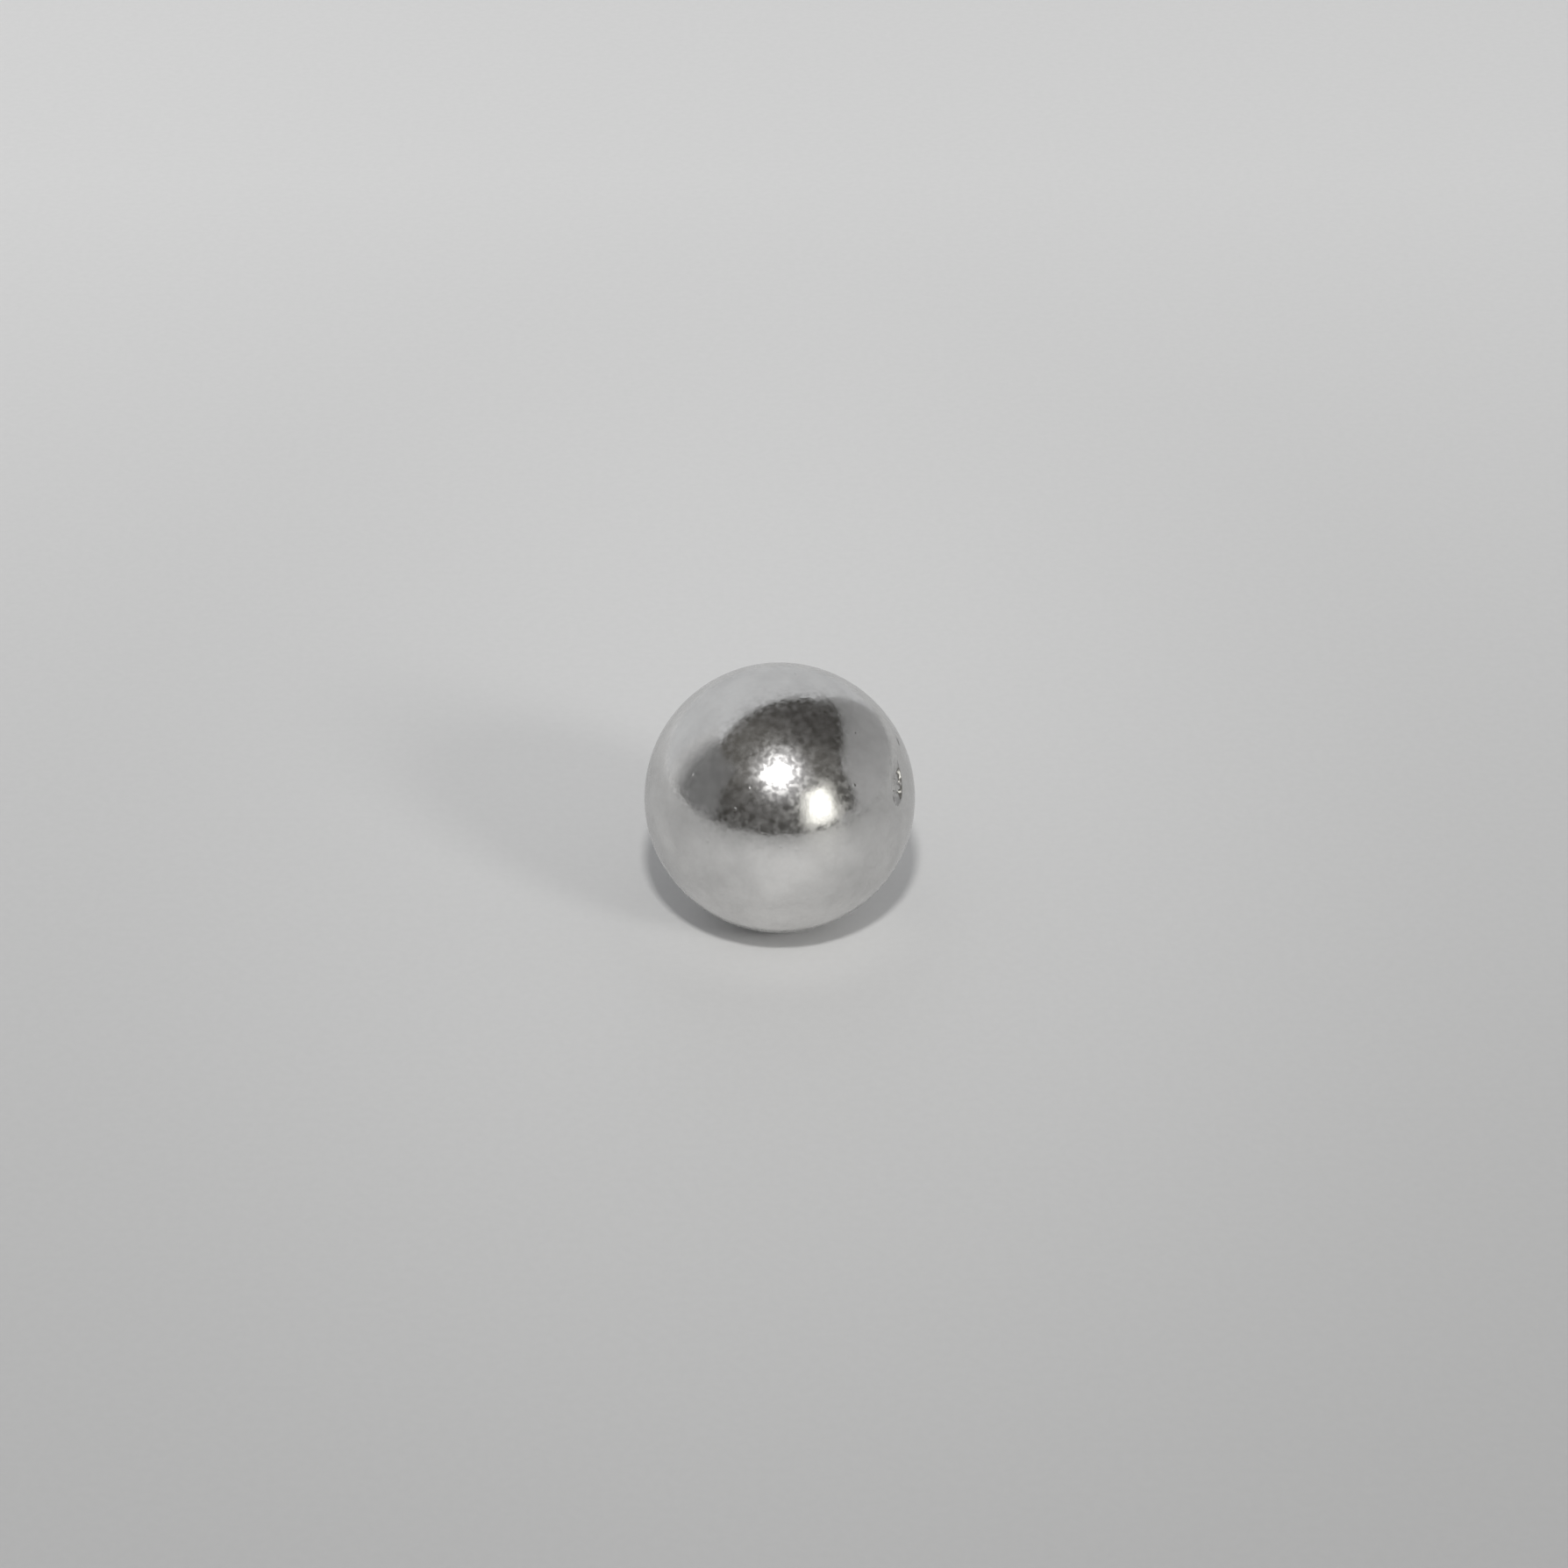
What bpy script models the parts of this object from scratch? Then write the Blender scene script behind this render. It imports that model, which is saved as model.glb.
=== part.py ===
"""Solid aluminium ball with a leaf-shaped dent and a small nick in its side.

Metres, +Z up. The origin is the centre of the ball, which touches what it stands on at
the lowest point of the sphere, on the Z axis. The side that faces -Y is the front.
"""

import math

import bmesh
import bpy
from mathutils import Matrix

# The ball
BALL_DIAMETER = 0.015
BALL_SUBDIVISIONS = 5  # facets about 0.5 mm across, with a corner on each axis

# The dent: a leaf with its tip up and leaning back, low on the right-hand side
DENT_LENGTH = 0.0026
DENT_WIDTH = 0.0014
DENT_DEPTH = 0.0003
DENT_BEARING = math.radians(-23.0)  # round Z, from +X
DENT_ELEVATION = math.radians(20.0)  # above the equator
DENT_TURN = math.radians(-41.0)  # of the tip from straight up, anticlockwise seen from outside

# The nick: a small drop-shaped mark above the dent, its tail pointing down to the dent
NICK_LENGTH = 0.0006
NICK_WIDTH = 0.0003
NICK_DEPTH = 0.0001
NICK_BEARING = math.radians(-1.7)
NICK_ELEVATION = math.radians(29.5)
NICK_TURN = math.radians(128.0)

# Shape shared by the marks
TIP_TAPER = 0.6  # share of a mark's width and depth that is lost by its tip
WALL_LIFT = 0.5  # a larger share gives a mark lower, more open walls
CUTTER_SEGMENTS = 32
CUTTER_RINGS = 24

# Polished aluminium, a little dulled by fine dings
ALUMINIUM_FINISH = {
    "Base Color": (0.80, 0.80, 0.79, 1.0),
    "Roughness": 0.15,
    "Metallic": 1.0,
}


def clear_scene():
    """Removes every object of the scene."""
    for item in list(bpy.data.objects):
        bpy.data.objects.remove(item, do_unlink=True)


def new_collection(name):
    """A collection linked to the scene."""
    collection = bpy.data.collections.new(name)
    bpy.context.scene.collection.children.link(collection)
    return collection


def aluminium():
    """The ball's own material."""
    material = bpy.data.materials.new("polished_aluminium")
    material.use_nodes = True
    shader = material.node_tree.nodes["Principled BSDF"]
    for socket, value in ALUMINIUM_FINISH.items():
        shader.inputs[socket].default_value = value
    material.diffuse_color = ALUMINIUM_FINISH["Base Color"]
    return material


def mesh_object(name, shape, collection):
    """Turns a bmesh into a smooth-shaded object in the collection."""
    mesh = bpy.data.meshes.new(name)
    shape.to_mesh(mesh)
    shape.free()
    mesh.shade_smooth()
    item = bpy.data.objects.new(name, mesh)
    collection.objects.link(item)
    return item


def plain_ball(radius, collection):
    """The true sphere, before it was marked."""
    shape = bmesh.new()
    bmesh.ops.create_icosphere(shape, subdivisions=BALL_SUBDIVISIONS, radius=radius)
    ball = mesh_object("ball", shape, collection)
    ball.data.materials.append(aluminium())
    return ball


def mark_cutter(name, size, place, radius, collection):
    """A closed leaf that takes a mark out of the ball's surface.

    size is (length, width, depth) and place is (bearing, elevation, turn). The leaf is a
    unit sphere stretched to the mark's size, with its length along -X and its depth along
    Z. It narrows and thins evenly to its tip. It is raised by WALL_LIFT of its half
    depth, so that the walls slope, and it drops away from its tangent plane as the ball's
    surface does, so that it is as deep below the surface at its ends as it should be.
    """
    length, width, depth = size
    bearing, elevation, turn = place
    reach = 1.0 / math.sqrt(1.0 - WALL_LIFT**2)
    half_length = reach * length / 2
    half_width = reach * width / 2
    half_depth = depth / (1.0 - WALL_LIFT)

    shape = bmesh.new()
    bmesh.ops.create_uvsphere(
        shape, u_segments=CUTTER_SEGMENTS, v_segments=CUTTER_RINGS, radius=1.0
    )
    for corner in shape.verts:
        unit = corner.co.copy()
        narrowing = 1.0 - TIP_TAPER * (1.0 - unit.x) / 2
        along = half_length * unit.x
        across = half_width * narrowing * unit.y
        out = half_depth * narrowing * (unit.z + WALL_LIFT)
        drop = radius - math.sqrt(radius**2 - along**2 - across**2)
        corner.co = (along, across, out - drop)

    cutter = mesh_object(name, shape, collection)
    turned = (
        Matrix.Rotation(bearing, 4, "Z")
        @ Matrix.Rotation(math.pi / 2 - elevation, 4, "Y")
        @ Matrix.Rotation(turn, 4, "Z")
    )
    cutter.rotation_euler = turned.to_euler()
    cutter.location = turned.col[2].to_3d() * radius
    cutter.hide_render = True
    cutter.display_type = "WIRE"
    return cutter


def cut(item, cutter):
    """Takes the cutter out of the item with a Boolean modifier."""
    modifier = item.modifiers.new(cutter.name, "BOOLEAN")
    modifier.operation = "DIFFERENCE"
    modifier.solver = "EXACT"
    modifier.object = cutter


def build():
    """Models the ball and cuts its two marks."""
    clear_scene()
    parts = new_collection("aluminum_ball")
    cutters = new_collection("cutters")
    radius = BALL_DIAMETER / 2

    ball = plain_ball(radius, parts)
    dent = mark_cutter(
        "dent_cutter",
        (DENT_LENGTH, DENT_WIDTH, DENT_DEPTH),
        (DENT_BEARING, DENT_ELEVATION, DENT_TURN),
        radius,
        cutters,
    )
    nick = mark_cutter(
        "nick_cutter",
        (NICK_LENGTH, NICK_WIDTH, NICK_DEPTH),
        (NICK_BEARING, NICK_ELEVATION, NICK_TURN),
        radius,
        cutters,
    )
    cut(ball, dent)
    cut(ball, nick)


build()
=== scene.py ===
import math

import bpy
import numpy as np
from mathutils import Matrix, Vector


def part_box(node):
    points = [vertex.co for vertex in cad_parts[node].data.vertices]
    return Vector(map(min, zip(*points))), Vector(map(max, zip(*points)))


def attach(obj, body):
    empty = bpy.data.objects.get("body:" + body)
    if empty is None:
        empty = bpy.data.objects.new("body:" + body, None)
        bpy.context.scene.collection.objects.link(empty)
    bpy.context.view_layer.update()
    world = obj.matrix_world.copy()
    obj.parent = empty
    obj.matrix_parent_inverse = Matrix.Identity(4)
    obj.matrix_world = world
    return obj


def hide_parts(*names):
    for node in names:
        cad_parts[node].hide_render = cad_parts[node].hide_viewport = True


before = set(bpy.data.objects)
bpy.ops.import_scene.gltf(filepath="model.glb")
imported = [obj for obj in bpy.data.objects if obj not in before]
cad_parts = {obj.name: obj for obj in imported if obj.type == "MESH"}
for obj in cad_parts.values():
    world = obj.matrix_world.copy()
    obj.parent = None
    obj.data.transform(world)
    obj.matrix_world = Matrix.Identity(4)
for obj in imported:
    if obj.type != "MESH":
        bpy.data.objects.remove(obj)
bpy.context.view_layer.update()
ballLow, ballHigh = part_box("ball")
ballCentre = (ballLow + ballHigh) / 2
ballRadius = (ballHigh.z - ballLow.z) / 2
floorHeight = ballLow.z
print("frame loaded, ball radius in mm:", round(ballRadius * 1000, 3))


# ball: the whole surface as one grid round the dent, so that the dent gets the finest cells

ballSettings = {
    "rows": 300,  # from the middle of the dent to the far side of the ball
    "columns": 320,  # round the dent
    "fineRowsDegrees": 40.0,  # a smaller figure packs more of the rows into the dent
    "rippleWaves": 70,
    "rippleLong": 0.0020,  # longest and shortest wave of the orange peel
    "rippleShort": 0.0005,
    "rippleSlope": 0.008,  # steepness of the orange peel, rise over run
    "skinClearance": 0.000006,  # how far the surface stays inside the true sphere
    "seed": 13,
}

markSettings = {  # the same for both marks; q is 0 in the middle of a mark and 1 on its outline
    "rimWaves": ((3, 0.7), (7, 2.1)),  # waves round the outline, and the angle each starts at
    "lipPlace": 1.25,  # q where the lip is highest, and how wide it is
    "lipWidth": 0.35,
    "crushedTo": 1.15,  # q where the crushed metal ends
    "farSide": 1000.0,  # q given to the half of the ball that faces away from the mark
}

dentSettings = {
    "length": 0.0026,
    "width": 0.0014,
    "depth": 0.0003,
    "bearing": -23.0,  # degrees round Z from +X
    "elevation": 20.0,
    "turn": -41.0,  # of the tip from straight up, anticlockwise seen from outside
    "tipTaper": 0.6,
    "wallLift": 0.5,
    "wallPower": 1.5,  # 1 is an even bowl, and more gives a flatter bottom and steeper walls
    "rimRound": 0.000014,  # the rim is rounded over about this height
    "lip": 0.000012,  # metal pushed up round the rim
    "rimUneven": 0.10,  # how much the outline wanders
    "rippleWaves": 24,
    "rippleLong": 0.0008,
    "rippleShort": 0.00026,
    "rippleSlope": 0.36,  # unevenness of the crushed metal inside
    "seed": 11,
}

nickSettings = {
    "length": 0.0006,
    "width": 0.0003,
    "depth": 0.0001,
    "bearing": -1.7,
    "elevation": 29.5,
    "turn": 128.0,
    "tipTaper": 0.6,
    "wallLift": 0.5,
    "wallPower": 1.3,
    "rimRound": 0.000008,
    "lip": 0.000006,
    "rimUneven": 0.10,
    "rippleWaves": 12,
    "rippleLong": 0.0005,
    "rippleShort": 0.0002,
    "rippleSlope": 0.10,
    "seed": 8,
}


def markAxes(mark):
    # the mark's own axes as columns: away from its tip, across it, and straight out of the ball
    turned = (
        Matrix.Rotation(math.radians(mark["bearing"]), 3, "Z")
        @ Matrix.Rotation(math.radians(90 - mark["elevation"]), 3, "Y")
        @ Matrix.Rotation(math.radians(mark["turn"]), 3, "Z")
    )
    return np.array(turned)


def markRelief(directions, mark):
    # height of a leaf-shaped bowl: depth * (1 - q ** wallPower), with a rounded rim, a low lip of
    # pushed-up metal outside it and a crushed, uneven surface inside it
    local = directions @ markAxes(mark)
    outline = 1 - mark["wallLift"] ** 2
    reach = 1 / math.sqrt(outline)
    along = local[:, 0] * ballRadius / (reach * mark["length"] / 2)
    narrowing = 1 - mark["tipTaper"] * (1 - np.clip(along, -1, 1)) / 2
    across = local[:, 1] * ballRadius / (reach * mark["width"] / 2 * narrowing)
    around = np.arctan2(across, along)
    rimWaves = markSettings["rimWaves"]
    rim = sum(np.cos(number * around + start) for number, start in rimWaves) / len(rimWaves)
    q = (along**2 + across**2) / outline * (1 + mark["rimUneven"] * rim)
    q = np.where(local[:, 2] > 0, q, markSettings["farSide"])
    bowl = mark["depth"] * narrowing * (1 - q ** mark["wallPower"])
    rounded = (bowl + np.sqrt(bowl**2 + mark["rimRound"] ** 2)) / 2
    fromLip = (q - markSettings["lipPlace"]) / markSettings["lipWidth"]
    lip = mark["lip"] * narrowing * np.exp(-(fromLip**2))
    crushed = orangePeel(directions, mark) * np.clip(markSettings["crushedTo"] - q, 0, 1)
    return lip - rounded + crushed


def orangePeel(directions, settings):
    # a sum of cosine waves that run through the ball in random directions, each with a random
    # wavelength between the two limits and the height that gives the wanted slope
    random = np.random.default_rng(settings["seed"])
    waves = settings["rippleWaves"]
    heading = random.normal(size=(waves, 3))
    heading /= np.linalg.norm(heading, axis=1, keepdims=True)
    span = settings["rippleLong"] / settings["rippleShort"]
    wavelength = settings["rippleShort"] * span ** random.random(waves)
    number = 2 * math.pi / wavelength
    phase = random.random(waves) * 2 * math.pi
    height = settings["rippleSlope"] * math.sqrt(2 / waves) / number
    turns = (directions * ballRadius) @ (heading * number[:, None]).T + phase
    return np.cos(turns) @ height


def ballDirections(settings, axes):
    # grid of directions: rows at a growing angle from the dent's axis, columns round that axis,
    # and one more point at each end of the axis
    rows = settings["rows"]
    columns = settings["columns"]
    share = np.arange(1, rows) / rows
    fine = settings["fineRowsDegrees"]
    angle = np.radians(fine * share + (180 - fine) * share**2)
    around = np.arange(columns) / columns * 2 * math.pi
    local = np.stack(
        [
            np.outer(np.sin(angle), np.cos(around)),
            np.outer(np.sin(angle), np.sin(around)),
            np.outer(np.cos(angle), np.ones(columns)),
        ],
        axis=-1,
    ).reshape(-1, 3)
    ends = np.array([[0.0, 0.0, 1.0], [0.0, 0.0, -1.0]])
    return np.concatenate([local, ends]) @ axes.T


def gridFaces(rows, columns):
    # quads between neighbouring rows, and a fan of triangles at each end, all facing outwards
    row = np.arange(rows - 2)[:, None] * columns
    column = np.arange(columns)[None, :]
    beside = (column + 1) % columns
    quads = np.stack(
        [row + column, row + columns + column, row + columns + beside, row + beside], axis=-1
    ).reshape(-1, 4)
    first = np.arange(columns)
    second = (first + 1) % columns
    last = (rows - 2) * columns
    top = np.full(columns, (rows - 1) * columns)
    nearFan = np.stack([top, first, second], axis=-1)
    farFan = np.stack([top + 1, last + second, last + first], axis=-1)
    return quads, np.concatenate([nearFan, farFan])


def meshFromArrays(name, points, quads, triangles):
    # fills a mesh straight from whole arrays of corners and faces
    mesh = bpy.data.meshes.new(name)
    mesh.vertices.add(len(points))
    mesh.vertices.foreach_set("co", points.astype(np.float32).ravel())
    corners = np.concatenate([quads.ravel(), triangles.ravel()]).astype(np.int32)
    starts = np.concatenate(
        [np.arange(len(quads)) * 4, len(quads) * 4 + np.arange(len(triangles)) * 3]
    )
    mesh.loops.add(len(corners))
    mesh.loops.foreach_set("vertex_index", corners)
    mesh.polygons.add(len(starts))
    mesh.polygons.foreach_set("loop_start", starts.astype(np.int32))
    mesh.update(calc_edges=True)
    mesh.validate()
    mesh.shade_smooth()
    return mesh


def makeBall(settings):
    axes = markAxes(dentSettings)
    directions = ballDirections(settings, axes)
    height = (
        orangePeel(directions, settings)
        + markRelief(directions, dentSettings)
        + markRelief(directions, nickSettings)
    )
    reach = ballRadius - settings["skinClearance"] + height
    points = np.array(ballCentre) + directions * reach[:, None]
    quads, triangles = gridFaces(settings["rows"], settings["columns"])
    mesh = meshFromArrays("polished_ball", points, quads, triangles)
    ball = bpy.data.objects.new("polished_ball", mesh)
    bpy.context.scene.collection.objects.link(ball)
    return ball


# finish: bright aluminium with fine waves, small round pits, dull spots and a wide haze

finishSettings = {
    "colour": (0.72, 0.715, 0.705),
    "colourShift": 0.06,
    "edgeTint": 0.86,
    "cleanRoughness": 0.11,
    "spotRoughness": 0.115,  # most that a dull spot adds
    "cloudRoughness": 0.03,  # most that a dull cloud adds
    "hazeCoat": (0.42, 1.0),  # least and most of the wide haze
    "hazeCoatRoughness": 0.5,
    "hazeCoatIndex": 2.1,
    # patterns: size, detail, and the band of the noise that goes from none to all
    "spots": {"size": 0.00032, "detail": 1.3, "band": (0.36, 0.66)},
    "clouds": {"size": 0.0009, "detail": 2.0, "band": (0.35, 0.65)},
    "haze": {"size": 0.00046, "detail": 1.0, "band": (0.36, 0.64)},
    "patches": {"size": 0.0017, "detail": 2.5, "band": (0.3, 0.7)},
    "fineWaves": {"size": 0.00030, "detail": 1.5},
    "fineHeight": 0.0000044,  # of the whole range of the noise, of which the waves fill about 1/4
    "pitRoughness": 0.08,
    "pitSpacing": 0.00080,
    "pitRadius": 0.00015,
    "pitDepth": 0.000034,
    "pitShare": 0.20,
}


def addNode(tree, kind, **values):
    node = tree.nodes.new(kind)
    for name, value in values.items():
        setattr(node, name, value)
    return node


def noise(tree, place, pattern):
    node = addNode(tree, "ShaderNodeTexNoise")
    node.inputs["Scale"].default_value = 1 / pattern["size"]
    node.inputs["Detail"].default_value = pattern["detail"]
    tree.links.new(place, node.inputs["Vector"])
    return node.outputs["Fac"]


def remap(tree, value, low, high, newLow, newHigh, smooth=True):
    node = addNode(tree, "ShaderNodeMapRange")
    node.interpolation_type = "SMOOTHSTEP" if smooth else "LINEAR"
    node.inputs["From Min"].default_value = low
    node.inputs["From Max"].default_value = high
    node.inputs["To Min"].default_value = newLow
    node.inputs["To Max"].default_value = newHigh
    tree.links.new(value, node.inputs["Value"])
    return node.outputs["Result"]


def spread(tree, place, pattern, low=0.0, high=1.0):
    # the pattern's band of noise, smoothed from the low value to the high one
    return remap(tree, noise(tree, place, pattern), *pattern["band"], low, high)


def combine(tree, operation, first, second):
    node = addNode(tree, "ShaderNodeMath", operation=operation)
    for socket, value in ((node.inputs[0], first), (node.inputs[1], second)):
        if isinstance(value, (int, float)):
            socket.default_value = value
        else:
            tree.links.new(value, socket)
    return node.outputs["Value"]


def polishedAluminium(settings):
    material = bpy.data.materials.new("polished_aluminium")
    material.use_nodes = True
    tree = material.node_tree
    shader = tree.nodes["Principled BSDF"]
    shader.inputs["Metallic"].default_value = 1.0
    edge = settings["edgeTint"]
    shader.inputs["Specular Tint"].default_value = (edge, edge, edge, 1)
    place = addNode(tree, "ShaderNodeTexCoord").outputs["Object"]

    # small round pits, one in some of the cells
    pits = addNode(tree, "ShaderNodeTexVoronoi", feature="F1")
    pits.inputs["Scale"].default_value = 1 / settings["pitSpacing"]
    tree.links.new(place, pits.inputs["Vector"])
    chance = addNode(tree, "ShaderNodeSeparateColor")
    tree.links.new(pits.outputs["Color"], chance.inputs["Color"])
    hasPit = remap(tree, chance.outputs["Red"], 0, settings["pitShare"], 1, 0, smooth=False)
    pitReach = settings["pitRadius"] / settings["pitSpacing"]
    pitBowl = remap(tree, pits.outputs["Distance"], 0, pitReach, 1, 0)
    pit = combine(tree, "MULTIPLY", pitBowl, hasPit)

    # soft dull spots over wider dull clouds, while the pits stay bright
    spot = spread(tree, place, settings["spots"])
    spotRough = combine(tree, "MULTIPLY", spot, settings["spotRoughness"])
    cloud = spread(tree, place, settings["clouds"])
    cloudRough = combine(tree, "MULTIPLY", cloud, settings["cloudRoughness"])
    dulled = combine(tree, "ADD", spotRough, cloudRough)
    dulled = combine(tree, "ADD", dulled, settings["cleanRoughness"])
    toPit = combine(tree, "SUBTRACT", settings["pitRoughness"], dulled)
    rough = combine(tree, "ADD", dulled, combine(tree, "MULTIPLY", toPit, pit))
    tree.links.new(rough, shader.inputs["Roughness"])

    # a wide faint haze over the bright metal, uneven like the spots
    haze = spread(tree, place, settings["haze"], *settings["hazeCoat"])
    tree.links.new(haze, shader.inputs["Coat Weight"])
    shader.inputs["Coat Roughness"].default_value = settings["hazeCoatRoughness"]
    shader.inputs["Coat IOR"].default_value = settings["hazeCoatIndex"]

    # colour, a little uneven over the ball
    patches = spread(tree, place, settings["patches"])
    tint = addNode(tree, "ShaderNodeMix", data_type="RGBA")
    bright = np.array(settings["colour"])
    tint.inputs["A"].default_value = (*(bright * (1 - settings["colourShift"])), 1)
    tint.inputs["B"].default_value = (*np.minimum(bright * (1 + settings["colourShift"]), 1), 1)
    tree.links.new(patches, tint.inputs["Factor"])
    tree.links.new(tint.outputs["Result"], shader.inputs["Base Color"])

    # relief in metres: fine waves less the pits
    wave = noise(tree, place, settings["fineWaves"])
    waveHeight = combine(tree, "MULTIPLY", wave, settings["fineHeight"])
    pitHeight = combine(tree, "MULTIPLY", pit, settings["pitDepth"])
    relief = combine(tree, "SUBTRACT", waveHeight, pitHeight)
    bump = addNode(tree, "ShaderNodeBump")
    bump.inputs["Distance"].default_value = 1.0
    bump.inputs["Strength"].default_value = 1.0
    tree.links.new(relief, bump.inputs["Height"])
    tree.links.new(bump.outputs["Normal"], shader.inputs["Normal"])
    return material


# stage: a pale floor to stand on, and the dim surroundings that the metal mirrors

stageSettings = {
    "floorRadius": 0.9,
    "floorSides": 96,
    "floorColour": 0.530,
    "floorFade": 1.75,  # painted light: how much the floor pales per metre towards the back
    "floorFadeReach": 0.1,  # metres that it goes on for, to the back and to the front
    "floorLean": -0.5,  # painted light and shade: how much the floor pales per metre towards the right
    "floorLightPools": [
        # painted pools of light: extra paleness, from and to how many radii it fades, how many radii
        # ahead of the ball it lies, and a squash, which makes it longer along an axis where it is
        # below 1
        (0.12, 1.0, 6.0, 0.0, (1, 0.5, 1)),  # painted light round the middle of the picture
        (0.16, 0.3, 1.0, 0.3, (0.8, 1, 1)),  # painted light where the light that the ball throws down would fall, lightening its contact shadow
    ],
    "floorGrain": {"size": 0.0005, "detail": 2.0, "band": (0.2, 0.8)},
    "floorGrainDepth": 0.015,
    "floorRoughness": 0.58,
    "floorSpecular": 1.0,
    "floorIndex": 1.7,
    "floorMirrorLift": (-0.02, 0.21),  # painted sheen: change in front that only the ball's mirror image shows
    "floorMirrorRadii": (1.6, 3.2),
    "floorMirrorFront": (-0.75, -0.2),  # cosines of the bearing from the back: all, and none
    "floorMirrorDips": [  # painted shade and light in the mirror image, the same all round: depth, and from and to how many radii it fades
        (0.05, 5.0, 12.0),
        (0.05, 200.0, 400.0),
        (-0.06, 0.6, 1.2),
    ],
    "backgroundGrey": 0.62,
    "ambient": 0.427,
    "ambientTint": (0.975, 0.985, 1.0),
}

surroundSettings = {
    "radius": 0.8,
    "floorLine": -1.0,  # elevations in degrees, where the surroundings start and end
    "overhead": 90.0,
    "dimGrey": 0.045,
    "dimTint": (1.06, 1.0, 0.90),
    "dimGlows": [  # longitude, elevation, inner and outer reach in degrees, grey
        (-60.0, 58.0, 8.0, 50.0, 0.055),
        (52.0, 48.0, 4.0, 28.0, 0.05),
    ],
    "screenCentre": -152.0,  # degrees round the ball: 0 is the front, 90 the right
    "screenSteepness": 1.85,
    "screenRight": 150.0,
    "screenLeft": -93.0,
    # each of the rest is nearer than the last, by its share of the radius
    "wall": {
        "nearness": 0.97,
        "from": 50.0,
        "to": 150.0,
        "centre": 110.0,
        "steepness": 0.90,
        "rises": (69.0, 76.0),  # only a low foot is left of these longitudes
        "foot": 4.0,
        "climb": 80.0,  # how far it would rise above the foot if its flat top let it
        "grey": (0.445, 0.265),  # low on the left, high on the right
        "dimsFrom": 66.0,  # longitude
        "dimsAcross": 0.6,  # share of the change that lies between there and its right end
        "dimsUp": 60.0,  # elevation over which all of the change would come
    },
    "panel": {
        "nearness": 0.96,
        "from": -116.0,
        "to": -55.0,
        "top": 44.0,
        "grey": (0.60, 0.17),  # at its left end, which fades into the screen, and beyond
        "fades": (-114.0, -90.0),
    },
    "lampCard": {
        "nearness": 0.9,
        "from": 17.0,
        "to": 56.0,
        "low": 1.5,
        "top": 35.0,
        "lean": 5.0,
        "grey": (1.45, 1.75),  # at its foot and at its top
        "core": 1.8,  # more in its middle, which lights the glints in the dent
        "tint": (1.0, 0.99, 0.93),
        # where each falls off, as shares of the way from its middle to its edge
        "softSides": (0.2, 1.0),
        "softEnds": (0.7, 1.0),
        "softCore": (0.15, 0.5),
    },
    "compactGlow": {  # painted highlight round the compact lamp; angles in degrees
        "nearness": 0.88,
        "longitude": 2.0,
        "elevation": 50.5,
        "reach": 30.0,
        "core": (4.0, 11.5),
        "halo": (12.0, 30.0),
        "grey": (2.0, 0.26),  # in its core and in the halo round it
        "tint": (1.0, 0.985, 1.02),
    },
}


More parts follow.
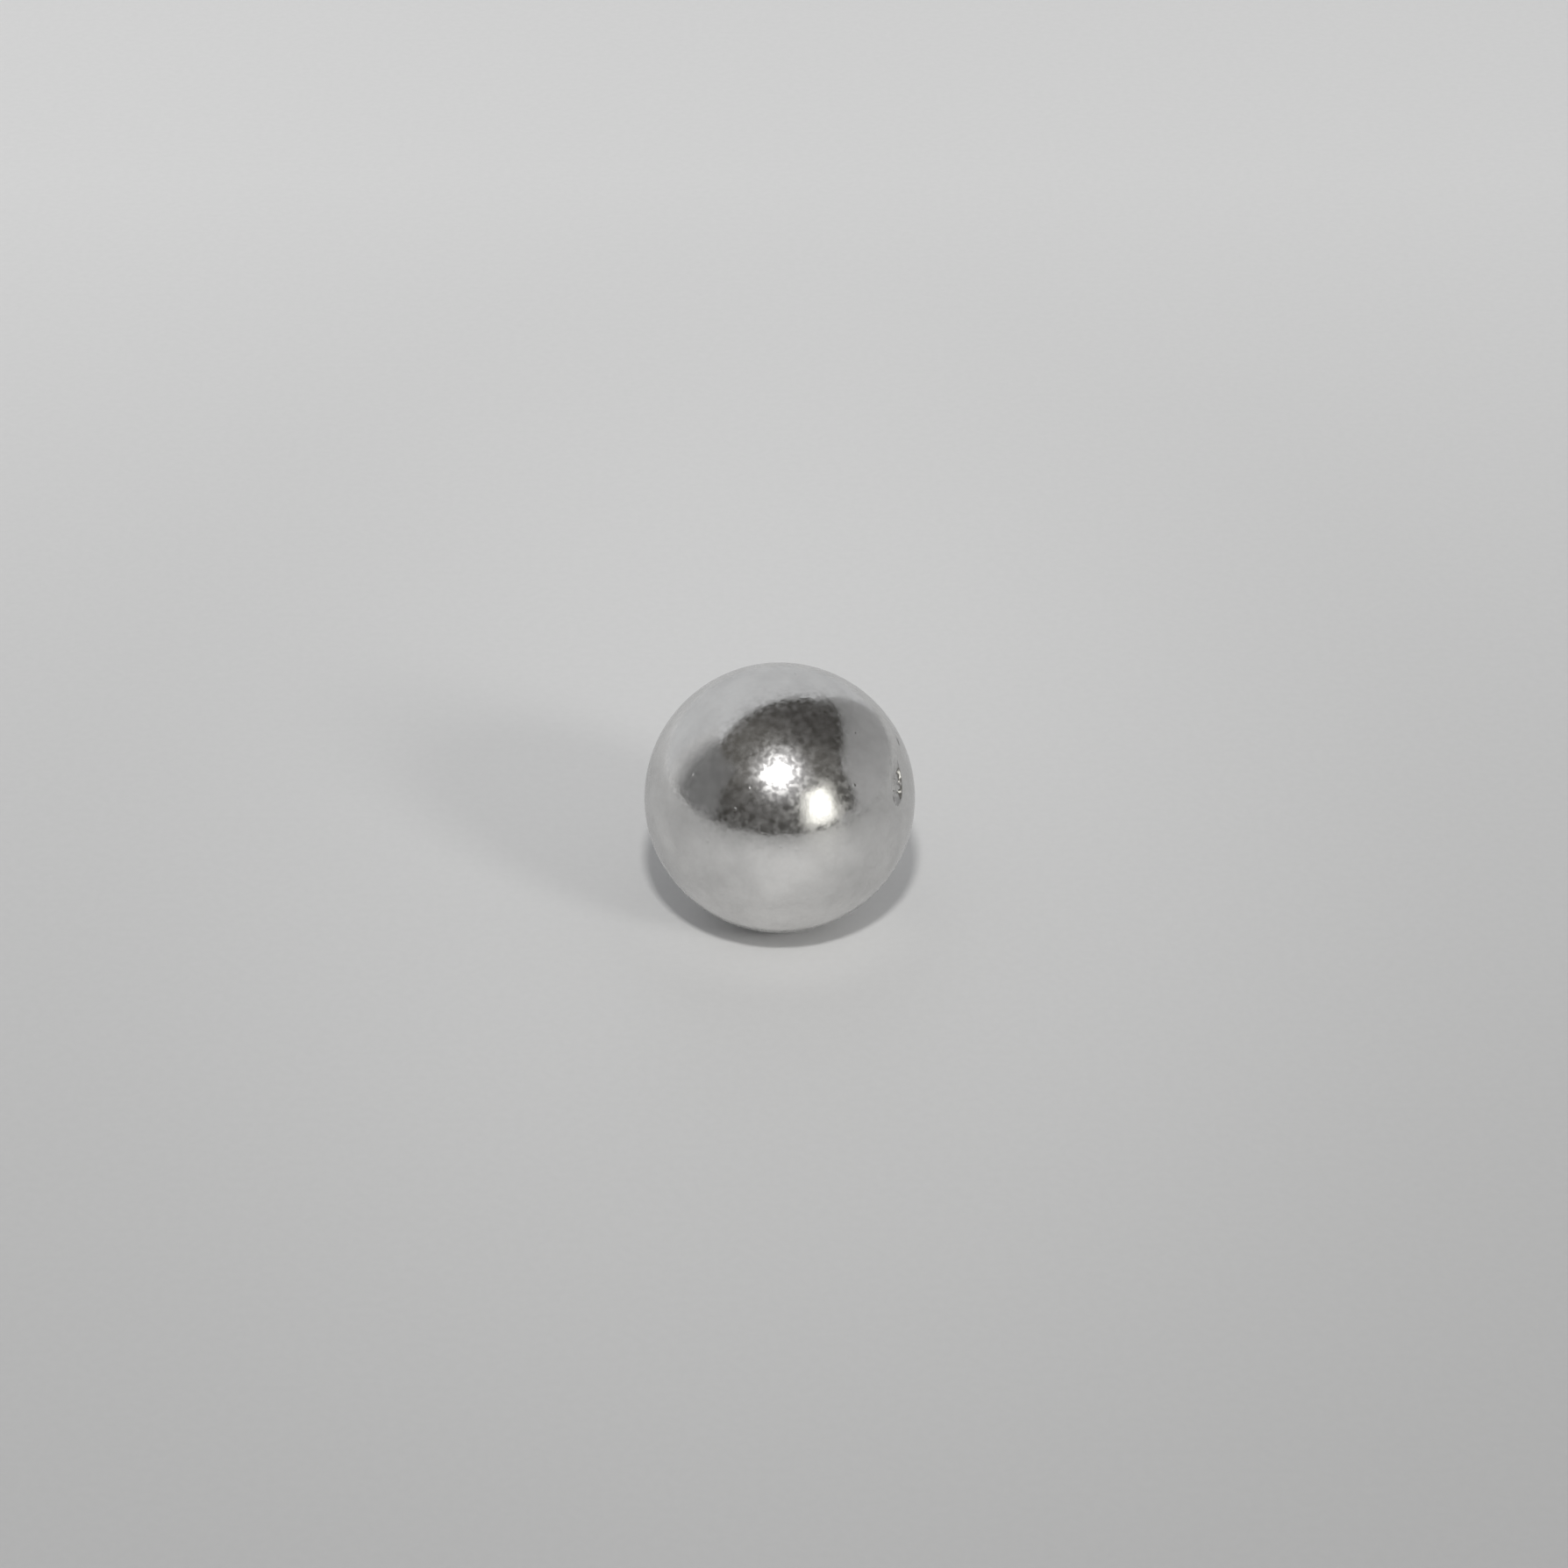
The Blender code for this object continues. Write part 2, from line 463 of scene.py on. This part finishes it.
def paleFloor(settings):
    bpy.ops.mesh.primitive_circle_add(
        vertices=settings["floorSides"],
        radius=settings["floorRadius"],
        fill_type="NGON",
        location=(0, 0, floorHeight),
    )
    floor = bpy.context.object
    floor.name = "pale_floor"
    material = bpy.data.materials.new("pale_floor")
    material.use_nodes = True
    tree = material.node_tree
    shader = tree.nodes["Principled BSDF"]
    shader.inputs["Roughness"].default_value = settings["floorRoughness"]
    shader.inputs["Specular IOR Level"].default_value = settings["floorSpecular"]
    shader.inputs["IOR"].default_value = settings["floorIndex"]
    place = addNode(tree, "ShaderNodeTexCoord").outputs["Object"]
    axis = addNode(tree, "ShaderNodeSeparateXYZ")
    tree.links.new(place, axis.inputs["Vector"])
    # painted light and shade: the floor's tone pales towards the back and changes towards the right,
    # as the light falls on it
    grey = settings["floorColour"]
    end = settings["floorFadeReach"]
    shift = end * settings["floorFade"]
    tone = remap(tree, axis.outputs["Y"], -end, end, grey - shift, grey + shift, smooth=False)
    lean = combine(tree, "MULTIPLY", axis.outputs["X"], settings["floorLean"])
    tone = combine(tree, "ADD", tone, lean)
    uneven = settings["floorGrainDepth"]
    grain = spread(tree, place, settings["floorGrain"], 1 - uneven, 1 + uneven)
    grainAndPaintedLight = combine(tree, "MULTIPLY", tone, grain)
    # painted pools of light on the floor, each a paleness that fades with distance from its middle
    for paleness, near, far, ahead, squash in settings["floorLightPools"]:
        squashed = addNode(tree, "ShaderNodeVectorMath", operation="MULTIPLY")
        tree.links.new(place, squashed.inputs[0])
        squashed.inputs[1].default_value = squash
        reach = addNode(tree, "ShaderNodeVectorMath", operation="DISTANCE")
        tree.links.new(squashed.outputs["Vector"], reach.inputs[0])
        reach.inputs[1].default_value = (0, -ahead * squash[1] * ballRadius, 0)
        near, far = near * ballRadius, far * ballRadius
        lift = remap(tree, reach.outputs["Value"], near, far, 1 + paleness, 1)
        grainAndPaintedLight = combine(tree, "MULTIPLY", grainAndPaintedLight, lift)

    # painted sheen: in front the floor looks paler only as the ball mirrors it, as if it scattered
    # low light forwards
    mirrored = addNode(tree, "ShaderNodeLightPath").outputs["Is Glossy Ray"]
    reach = addNode(tree, "ShaderNodeVectorMath", operation="LENGTH")
    tree.links.new(place, reach.inputs[0])
    near, far = [radii * ballRadius for radii in settings["floorMirrorRadii"]]
    forward = remap(tree, reach.outputs["Value"], near, far, *settings["floorMirrorLift"])
    cosine = combine(tree, "DIVIDE", axis.outputs["Y"], reach.outputs["Value"])
    inFront = remap(tree, cosine, *settings["floorMirrorFront"], 1, 0)
    forward = combine(tree, "MULTIPLY", forward, inFront)
    # painted shade and light in the ball's mirror image of the floor, the same all round
    for depth, near, far in settings["floorMirrorDips"]:
        dip = remap(tree, reach.outputs["Value"], near * ballRadius, far * ballRadius, depth, 0)
        forward = combine(tree, "SUBTRACT", forward, dip)
    forward = combine(tree, "ADD", combine(tree, "MULTIPLY", forward, mirrored), 1)
    grainAndPaintedLight = combine(tree, "MULTIPLY", grainAndPaintedLight, forward)
    colour = addNode(tree, "ShaderNodeCombineColor")
    for channel in ("Red", "Green", "Blue"):
        tree.links.new(grainAndPaintedLight, colour.inputs[channel])
    tree.links.new(colour.outputs["Color"], shader.inputs["Base Color"])
    floor.data.materials.append(material)


def direction(longitude, elevation):
    turn = math.radians(longitude)
    rise = math.radians(elevation)
    return Vector(
        (math.cos(rise) * math.sin(turn), -math.cos(rise) * math.cos(turn), math.sin(rise))
    )


def glowMaterial(name, tint, sampled, seeThrough):
    # glow as strong as the surface's own tone attribute, alone or on top of what lies behind it
    material = bpy.data.materials.new(name)
    material.use_nodes = True
    if not sampled:
        material.cycles.emission_sampling = "NONE"
    tree = material.node_tree
    tree.nodes.clear()
    tone = addNode(tree, "ShaderNodeAttribute", attribute_name="tone")
    glow = addNode(tree, "ShaderNodeEmission")
    glow.inputs["Color"].default_value = (*tint, 1)
    tree.links.new(tone.outputs["Fac"], glow.inputs["Strength"])
    out = addNode(tree, "ShaderNodeOutputMaterial")
    if seeThrough:
        clear = addNode(tree, "ShaderNodeBsdfTransparent")
        both = addNode(tree, "ShaderNodeAddShader")
        tree.links.new(glow.outputs["Emission"], both.inputs[0])
        tree.links.new(clear.outputs["BSDF"], both.inputs[1])
        tree.links.new(both.outputs["Shader"], out.inputs["Surface"])
    else:
        tree.links.new(glow.outputs["Emission"], out.inputs["Surface"])
    return material


def smoothStep(value, low, high):
    share = np.clip((value - low) / (high - low), 0, 1)
    return share * share * (3 - 2 * share)


def mirroredPatch(
    name,
    radius,
    ends,
    edges,
    tone,
    tint=(1.0, 1.0, 1.0),
    lean=0.0,
    cells=(96, 24),
    sampled=False,
    seeThrough=False,
):
    # part of a dome: columns at even longitudes between the two ends, rows from the lower edge to
    # the upper edge, each edge an elevation worked out from the longitude, and a glow worked out
    # from both; lean is how many degrees the upper edge is turned on from the lower one, and
    # cells how many there are along and up
    columns, rows = cells[0] + 1, cells[1] + 1
    share = np.linspace(0, 1, rows)[:, None]
    longitude = np.linspace(ends[0], ends[1], columns) + lean * (share - 0.5)
    low = edges[0](longitude)
    high = edges[1](longitude)
    elevation = low + (high - low) * share
    rise = np.radians(elevation)
    turn = np.radians(longitude)
    points = radius * np.stack(
        [np.cos(rise) * np.sin(turn), -np.cos(rise) * np.cos(turn), np.sin(rise)], axis=-1
    ).reshape(-1, 3)
    row = np.arange(rows - 1)[:, None] * columns
    column = np.arange(columns - 1)[None, :]
    quads = np.stack(
        [row + column, row + column + 1, row + columns + column + 1, row + columns + column],
        axis=-1,
    ).reshape(-1, 4)
    mesh = meshFromArrays(name, points, quads, np.zeros((0, 3), int))
    glow = np.broadcast_to(tone(longitude, elevation), elevation.shape)
    attribute = mesh.attributes.new("tone", "FLOAT", "POINT")
    attribute.data.foreach_set("value", glow.astype(np.float32).ravel())
    mesh.materials.append(glowMaterial(name, tint, sampled, seeThrough))
    patch = bpy.data.objects.new(name, mesh)
    bpy.context.scene.collection.objects.link(patch)
    patch.visible_camera = False
    patch.visible_diffuse = False
    patch.visible_shadow = False
    patch.visible_transmission = False


def flatTop(centre, steepness):
    # elevation of the top edge of an upright flat panel that faces the ball
    def edge(longitude):
        return np.degrees(np.arctan(steepness * np.cos(np.radians(longitude - centre))))

    return edge


def level(value):
    return lambda longitude: np.full_like(longitude, float(value))


def degreesFrom(turn, rise, longitude, elevation):
    # angle between one direction and each of many: sin a sin b + cos a cos b cos(difference)
    cosine = np.sin(np.radians(elevation)) * math.sin(math.radians(rise)) + (
        np.cos(np.radians(elevation))
        * math.cos(math.radians(rise))
        * np.cos(np.radians(longitude - turn))
    )
    return np.degrees(np.arccos(np.clip(cosine, -1, 1)))


def dimSurroundings(settings):
    radius = settings["radius"]

    def dimTone(longitude, elevation):
        # an even grey with a few soft paler places
        tone = np.full_like(elevation, settings["dimGrey"])
        for turn, rise, inner, outer, grey in settings["dimGlows"]:
            away = degreesFrom(turn, rise, longitude, elevation)
            tone = tone + grey * (1 - smoothStep(away, inner, outer))
        return tone

    tint = settings["dimTint"]
    floorLine = level(settings["floorLine"])
    overhead = level(settings["overhead"])
    left, right = settings["screenLeft"], settings["screenRight"]
    screenTop = flatTop(settings["screenCentre"], settings["screenSteepness"])
    # in front and to the right the dimness comes down to the floor, and behind and to the left
    # it starts at the top edge of a pale screen
    mirroredPatch("room_front", radius, (left, right), (floorLine, overhead), dimTone, tint)
    mirroredPatch(
        "room_above_screen", radius, (right, left + 360), (screenTop, overhead), dimTone, tint
    )

    wall = settings["wall"]
    bright, dim = wall["grey"]

    def wallTone(longitude, elevation):
        # dimmer towards the right and towards the top
        away = np.maximum(longitude - wall["dimsFrom"], 0) / (wall["to"] - wall["dimsFrom"])
        change = np.clip(wall["dimsAcross"] * away + elevation / wall["dimsUp"], 0, 1)
        return bright + (dim - bright) * change

    flat = flatTop(wall["centre"], wall["steepness"])

    def wallTop(longitude):
        rise = wall["foot"] + wall["climb"] * smoothStep(longitude, *wall["rises"])
        return np.minimum(flat(longitude), rise)

    ends = (wall["from"], wall["to"])
    mirroredPatch("grey_wall", radius * wall["nearness"], ends, (floorLine, wallTop), wallTone)

    panel = settings["panel"]
    edgeGrey, panelGrey = panel["grey"]

    def panelTone(longitude, elevation):
        # fades into the screen at its left end
        return edgeGrey + (panelGrey - edgeGrey) * smoothStep(longitude, *panel["fades"])

    ends = (panel["from"], panel["to"])
    edges = (floorLine, level(panel["top"]))
    mirroredPatch("dim_panel", radius * panel["nearness"], ends, edges, panelTone)

    card = settings["lampCard"]
    footGrey, topGrey = card["grey"]

    def cardTone(longitude, elevation):
        # brighter towards the top, and soft all round, most at its sides
        glow = footGrey + (topGrey - footGrey) * smoothStep(elevation, card["low"], card["top"])
        across = 2 * (longitude - longitude.min()) / (longitude.max() - longitude.min()) - 1
        up = 2 * (elevation - card["low"]) / (card["top"] - card["low"]) - 1
        glow = glow * (1 - smoothStep(np.abs(across), *card["softSides"]))
        glow = glow * (1 - smoothStep(np.abs(up), *card["softEnds"]))
        return glow + card["core"] * (1 - smoothStep(np.hypot(across, up), *card["softCore"]))

    mirroredPatch(
        "lamp_card",
        radius * card["nearness"],
        (card["from"], card["to"]),
        (level(card["low"]), level(card["top"])),
        cardTone,
        card["tint"],
        lean=card["lean"],
        cells=(16, 16),
        sampled=True,
        seeThrough=True,
    )

    # painted highlight: a glowing core and halo that the metal mirrors round the compact lamp's own
    # highlight
    compact = settings["compactGlow"]
    coreGrey, haloGrey = compact["grey"]
    turn, rise = compact["longitude"], compact["elevation"]

    def compactTone(longitude, elevation):
        # falls off with the angle from the middle, to nothing at the edge of the patch
        away = degreesFrom(turn, rise, longitude, elevation)
        core = coreGrey * (1 - smoothStep(away, *compact["core"]))
        return core + haloGrey * (1 - smoothStep(away, *compact["halo"]))

    wide = compact["reach"] / math.cos(math.radians(rise))
    mirroredPatch(
        "compact_glow",
        radius * compact["nearness"],
        (turn - wide, turn + wide),
        (level(rise - compact["reach"]), level(rise + compact["reach"])),
        compactTone,
        compact["tint"],
        cells=(96, 96),
        seeThrough=True,
    )


def lightsAndWorld(settings):
    world = bpy.data.worlds.new("studio")
    bpy.context.scene.world = world
    world.use_nodes = True
    tree = world.node_tree
    tree.nodes.clear()
    path = addNode(tree, "ShaderNodeLightPath")
    seen = combine(tree, "MAXIMUM", path.outputs["Is Camera Ray"], path.outputs["Is Glossy Ray"])
    seen = combine(tree, "MAXIMUM", seen, path.outputs["Is Transmission Ray"])
    strength = remap(tree, seen, 0, 1, settings["ambient"], settings["backgroundGrey"], smooth=False)
    background = addNode(tree, "ShaderNodeBackground")
    background.inputs["Color"].default_value = (*settings["ambientTint"], 1)
    tree.links.new(strength, background.inputs["Strength"])
    out = addNode(tree, "ShaderNodeOutputWorld")
    tree.links.new(background.outputs["Background"], out.inputs["Surface"])


lampSettings = {
    "compact": {
        "longitude": -0.7,
        "elevation": 50.8,
        "radiiAway": 33.0,
        "angle": 4.5,  # that it fills in the ball's sky, in degrees
        "strength": 1.60,  # on the ball, in the units of a sun
        "colour": (1.0, 0.993, 0.975),
    },
    "soft": {
        "longitude": 44.7,
        "elevation": 26.5,
        "distance": 0.6,
        "width": 0.12,
        "height": 0.12,
        "power": 0.95,
        "colour": (1.0, 0.99, 0.965),
    },
}


def compactLamp(settings):
    # near, so that the shadow spreads, but as bright all over the floor as a sun would be:
    # strength = (length of the ray / distance of the lamp) ** 3
    distance = settings["radiiAway"] * ballRadius
    lamp = bpy.data.lights.new("compact_lamp", "POINT")
    lamp.energy = settings["strength"] * 4 * math.pi * distance**2
    lamp.shadow_soft_size = distance * math.tan(math.radians(settings["angle"] / 2))
    lamp.color = settings["colour"]
    lamp.use_nodes = True
    tree = lamp.node_tree
    length = addNode(tree, "ShaderNodeLightPath").outputs["Ray Length"]
    gain = combine(tree, "POWER", combine(tree, "DIVIDE", length, distance), 3)
    tree.links.new(gain, tree.nodes["Emission"].inputs["Strength"])
    item = bpy.data.objects.new("compact_lamp", lamp)
    item.location = direction(settings["longitude"], settings["elevation"]) * distance
    item.visible_camera = False
    bpy.context.scene.collection.objects.link(item)


def softLamp(settings):
    lamp = bpy.data.lights.new("soft_lamp", "AREA")
    lamp.shape = "RECTANGLE"
    lamp.size = settings["width"]
    lamp.size_y = settings["height"]
    lamp.energy = settings["power"]
    lamp.color = settings["colour"]
    item = bpy.data.objects.new("soft_lamp", lamp)
    away = direction(settings["longitude"], settings["elevation"])
    item.rotation_euler = away.to_track_quat("Z", "Y").to_euler()
    item.location = away * settings["distance"]
    item.visible_glossy = False  # the metal mirrors the lamp card instead
    bpy.context.scene.collection.objects.link(item)


cameraSettings = {
    "elevation": 30.5,
    "radiiAway": 40.0,
    "imageWidthPx": 1788,
    "ballAcrossPx": 308.8,
    "ballCentrePx": (889.1, 909.6),
    "sensorWidthMm": 36.0,
    "clip": (0.001, 10.0),
}


def makeCamera(settings):
    # the lens follows from how wide the ball looks at this distance, and the camera slides
    # sideways and up so that the ball lies where it should in the picture
    away = settings["radiiAway"]
    lensPx = settings["ballAcrossPx"] / 2 * math.sqrt(away**2 - 1)
    data = bpy.data.cameras.new("photo_camera")
    data.sensor_width = settings["sensorWidthMm"]
    data.lens = settings["sensorWidthMm"] * lensPx / settings["imageWidthPx"]
    data.clip_start, data.clip_end = settings["clip"]
    camera = bpy.data.objects.new("photo_camera", data)
    bpy.context.scene.collection.objects.link(camera)
    look = direction(0.0, settings["elevation"])
    facing = look.to_track_quat("Z", "Y")
    metresPerPx = away * ballRadius / lensPx
    middle = settings["imageWidthPx"] / 2
    right = (middle - settings["ballCentrePx"][0]) * metresPerPx
    up = (settings["ballCentrePx"][1] - middle) * metresPerPx
    camera.rotation_euler = facing.to_euler()
    camera.location = ballCentre + facing @ Vector((right, up, away * ballRadius))
    bpy.context.scene.camera = camera


def main():
    print("making the ball")
    ball = makeBall(ballSettings)
    ball.data.materials.append(polishedAluminium(finishSettings))
    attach(ball, "root")
    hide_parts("ball")
    print("setting the stage")
    paleFloor(stageSettings)
    dimSurroundings(surroundSettings)
    print("placing lights and camera")
    lightsAndWorld(stageSettings)
    compactLamp(lampSettings["compact"])
    softLamp(lampSettings["soft"])
    makeCamera(cameraSettings)
    bpy.context.scene.view_settings.view_transform = "Standard"


main()
